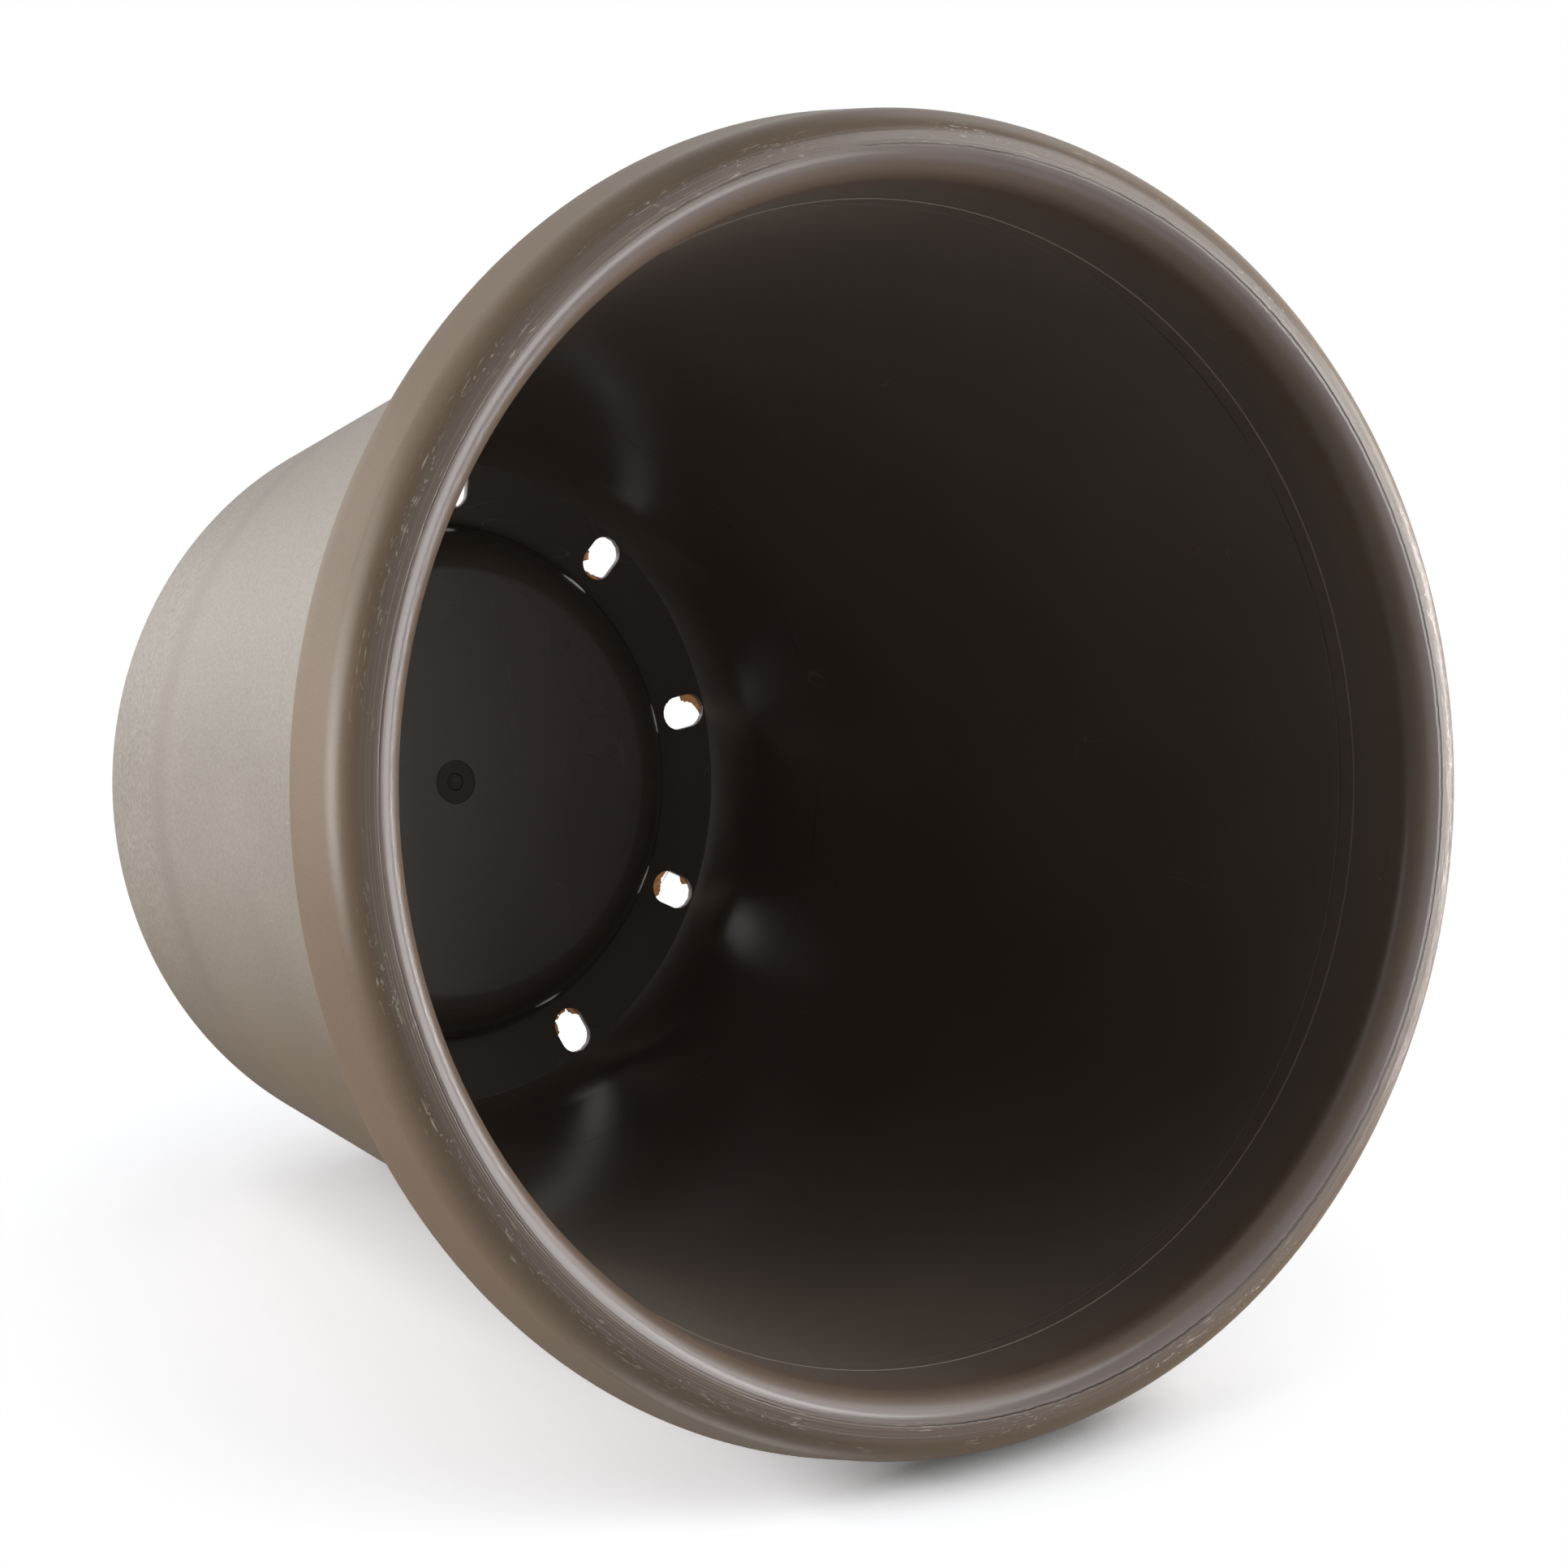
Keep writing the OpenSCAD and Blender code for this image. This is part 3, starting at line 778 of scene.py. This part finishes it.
def grainedSkin(look):
    # polypropylene against the mould's spark-eroded wall: an even matt grain, coarser on the foot, its colour
    # paler and greyer as a painted sheen and darker and browner towards the floor side as painted shade, with
    # a duller ring where the foot insert met the wall and a few dark specks
    material, node = newMaterial("polypropylene, spark-eroded grain")
    base = cloudyPlastic(node, look)
    where = node("SeparateXYZ", base["place"])
    uneven = node("Math", base["cloud"], look["footUneven"], where.outputs["Z"], operation="MULTIPLY_ADD")
    low, high = look["footGrain"]
    foot = node("MapRange", uneven, high, low)
    fine, heights = sparkGrain(node, look, base)
    coarse = node("TexNoise", Vector=base["place"], Scale=1000 / look["coarseSize"], Detail=2.0,
                  Roughness=0.6)
    coarse = overlap(node, node("Math", coarse.outputs[0], 0.5, operation="SUBTRACT"), foot)
    duller = nearLine(node, uneven, *look["duller"])
    spacing, far, near = look["specks"]
    specks = node("MapRange", node("TexVoronoi", Vector=base["place"], Scale=1000 / spacing), far, near)
    # painted shade: the outside gets darker and browner from x = -0.02 m towards the floor side
    shaded = node("MapRange", where.outputs["X"], *look["floorSideShadeFrom"], interpolation_type="SMOOTHSTEP")

    # the skin colour here is the outside's paler grey, a painted sheen
    speckle = node("Math", node("Math", fine, coarse, operation="ADD"), 0.5, operation="SUBTRACT")
    tone = node("Math", speckle, look["grainTone"][0], base["tone"], operation="MULTIPLY_ADD")
    colour = tinted(node, look, node("VectorMath", base["skin"], Scale=tone, operation="SCALE"),
                    (shaded, 0.9, "floorSideShade"), (duller, 0.22, "ringBand"), (specks, 0.3, "dirtAndShade"))
    heights = node("Math", coarse, look["coarseHeight"] * mm, heights, operation="MULTIPLY_ADD")
    finishPlastic(node, look, colour, base["rough"], heights)
    return material


def thinPlastic(look):
    # the same plastic where it is thinner than card: flash left by the mould, which light shines through
    material, node = newMaterial("polypropylene, thin flash")
    place = node("TexCoord").outputs["Object"]
    cloud = node("TexNoise", Vector=place, Scale=1000 / look["thinCloud"], Detail=2.0).outputs[0]
    bump = node("Bump", Height=cloud, Strength=0.5, Distance=look["thinHeight"] * mm)
    tint = node("Mix", cloud, linear(look["thinDark"]), linear(look["thinPale"]), data_type="RGBA")
    skin = node("BsdfPrincipled", Base_Color=linear(look["rim"]), Roughness=0.35, IOR=look["ior"],
                Normal=bump)
    glow = node("BsdfTranslucent", Color=tint)
    node("OutputMaterial", Surface=node("MixShader", look["thinGlow"], skin, glow))
    return material


points, faces = potMesh(potSize, section, moulding, runs)
potSkin = joinedMesh("moulded_pot", points, faces, moulding["sharpAngle"], zoneFinish, zoneMaterials)
pot = makePiece("moulded_pot", potSkin, [coreSkin(plasticLook, runs, potSize), rimSkin(plasticLook, runs),
                                         grainedSkin(plasticLook)])
flash = makePiece("slot_flash", flashMesh(slotFlash, potSize, section), [thinPlastic(plasticLook)])
for piece in (pot, flash):
    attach(piece, "root")
    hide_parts("pot")
print("pot made")

floorView = {
    "touch": (-0.194983, -0.044514, 0.3036),  # where the band's edge rests on it
    "along": (-0.23328105, -0.05325712, 0.97094986),  # in the floor, along the pot's axis
    "across": (-0.22256955, 0.97491681, 0.0),
    "reach": 4.0,  # m, half its side
    "colour": "#d8d8d8",
    "seen": "#e4e6ea",  # its colour to the camera, which takes out the tint of light from the pot
    "gain": 2.6,  # how much paler the camera sees it than the lamps do, so that it comes out white
    "creep": 0.035,  # m, how far the dark of the contact reaches
    "cornerDark": 0.75,  # of its tone, in the corners away from the contact
    "cornerFrom": (0.03, 0.075),  # m from the contact over which the corners get that tone
    "whiteFrom": 0.235,  # m from the pot's middle, where it starts to fade to plain white
    "whiteAt": 0.30,
}

# lamps: degrees round the pot from the camera to the picture's right, degrees above the floor, watts and,
# where it isn't the usual one, the size in metres
studio = {
    "middle": (0.0, 0.0, 0.165),  # m, of the pot
    "distance": 1.8,  # m, from the pot's middle to each lamp
    "lampSize": 0.8,
    "roomGlow": 0.62,  # of the room in front of the pot, as reflections see it
    "backdrop": (-0.2, -0.5),  # cosine to the camera's direction, between which the room turns to white
    "window": (0.16, (65, 25), 0.6, 0.95),  # a soft glow in the room: strength, where, and its fading edge
    "lamps": {
        "left low": (275, 6, 6.2), "left low front": (295, 6, 14.8), "left": (270, 28, 3.9),
        "left front": (295, 28, 4.3), "left high": (300, 55, 1.2),
        "right low": (80, 6, 10.5), "right low back": (110, 6, 5.9), "right": (85, 30, 9.5, 1.0),
        "right back": (140, 43, 1.5), "right floor": (114, -8, 12.0, 1.05),
        "back low": (230, 6, 4.3), "back high": (240, 55, 1.4), "top": (0, 88, 0.5),
        "below": (0, -90, 2.5),  # under the floor, which it shines through, for the pot's hidden side
    },
}


def makeFloor(view, middle):
    along, across, touch = Vector(view["along"]), Vector(view["across"]), Vector(view["touch"])
    corners = [touch + (along * a + across * b) * view["reach"]
               for a, b in ((-1, -1), (-1, 1), (1, 1), (1, -1))]
    mesh = bpy.data.meshes.new("floor")
    mesh.from_pydata([tuple(c) for c in corners], [], [(0, 1, 2, 3)])
    # pale paint, seen from the pot's side only: from behind, and for a lamp below, it lets everything
    # through. The camera sees it paler than it is, darker in the contact's corner, and plain white away
    # from the pot
    material, node = newMaterial("white floor")
    rays = node("LightPath")
    paint = node("BsdfDiffuse", Color=linear(view["colour"]))
    place = node("TexCoord").outputs["Object"]
    corner = node("AmbientOcclusion", Distance=view["creep"], samples=3).outputs["AO"]
    fromTouch = node("VectorMath", place, view["touch"], operation="DISTANCE").outputs["Value"]
    least = node("MapRange", fromTouch, *view["cornerFrom"], 0.0, view["gain"] * view["cornerDark"])
    seen = node("VectorMath", linear(view["seen"])[:3], operation="SCALE",
                Scale=node("MapRange", corner, 0.0, 1.0, least, view["gain"]))
    near = node("MixShader", rays.outputs["Is Camera Ray"], paint, node("BsdfDiffuse", Color=seen))
    away = node("VectorMath", place, middle, operation="DISTANCE")
    away = node("MapRange", away.outputs["Value"], view["whiteFrom"], view["whiteAt"],
                interpolation_type="SMOOTHSTEP")
    looked = node("Math", rays.outputs["Is Camera Ray"], rays.outputs["Is Transmission Ray"],
                  operation="MAXIMUM")
    front = node("MixShader", overlap(node, away, looked), near, node("Emission", Strength=1.0))
    hidden = node("Math", node("NewGeometry").outputs["Backfacing"], rays.outputs["Is Shadow Ray"],
                  operation="MAXIMUM")
    node("OutputMaterial", Surface=node("MixShader", hidden, front, node("BsdfTransparent")))
    makePiece("floor", mesh, [material])


def wayFrom(azimuth, above):
    # the direction at an azimuth round the floor's upright, from the camera to the picture's right, and an
    # elevation above the floor
    back = Vector(cameraView["back"])
    up = Vector(floorView["along"]).cross(Vector(floorView["across"])).normalized()
    up = up if up.dot(back) > 0 else -up
    ahead = (back - up * back.dot(up)).normalized()
    right = Vector(cameraView["right"])
    right = (right - up * right.dot(up)).normalized()
    a, e = math.radians(azimuth), math.radians(above)
    return (ahead * math.cos(a) + right * math.sin(a)) * math.cos(e) + up * math.sin(e)


def makeWorld(towardsCamera):
    # white for the camera; reflections see a white backdrop behind the pot and a dimmer room in front of it;
    # its own light is weak, from one side
    world = bpy.data.worlds.new("studio")
    bpy.context.scene.world = world
    world.use_nodes = True
    world.node_tree.nodes.clear()
    node = partial(add, world.node_tree)
    rays = node("LightPath")
    way = node("TexCoord").outputs["Generated"]
    facing = node("VectorMath", way, towardsCamera, operation="DOT_PRODUCT").outputs["Value"]
    backdrop = node("MapRange", facing, *studio["backdrop"], studio["roomGlow"], 1.0)
    seen = node("Math", rays.outputs["Is Glossy Ray"], rays.outputs["Is Transmission Ray"],
                operation="MAXIMUM")
    strength, direction, start, full = studio["window"]
    side = node("VectorMath", way, tuple(wayFrom(*direction)), operation="DOT_PRODUCT").outputs["Value"]
    window = node("MapRange", side, start, full, 0.0, strength)
    lit = node("Math", overlap(node, seen, backdrop), window, operation="ADD")
    strength = node("Mix", rays.outputs["Is Camera Ray"], lit, 1.0)
    node("OutputWorld", Surface=node("Background", Strength=strength))


def makeLamp(name, azimuth, above, watts, size=studio["lampSize"]):
    # a square softbox that faces the pot
    light = bpy.data.lights.new(name, "AREA")
    # a reflected ray stops at the floor, so a lamp below it has to be sampled straight, through the floor
    light.cycles.use_multiple_importance_sampling = above > 0
    light.shape, light.size, light.energy = "SQUARE", size, watts
    lamp = bpy.data.objects.new(name, light)
    bpy.context.scene.collection.objects.link(lamp)
    way = wayFrom(azimuth, above)
    turn = way.to_track_quat("Z", "Y").to_matrix().to_4x4()
    lamp.matrix_world = Matrix.Translation(Vector(studio["middle"]) + way * studio["distance"]) @ turn


makeFloor(floorView, studio["middle"])
makeWorld(cameraView["back"])
for name, settings in studio["lamps"].items():
    makeLamp(name, *settings)
bpy.context.scene.view_settings.view_transform = "Standard"
print("floor and light ready")
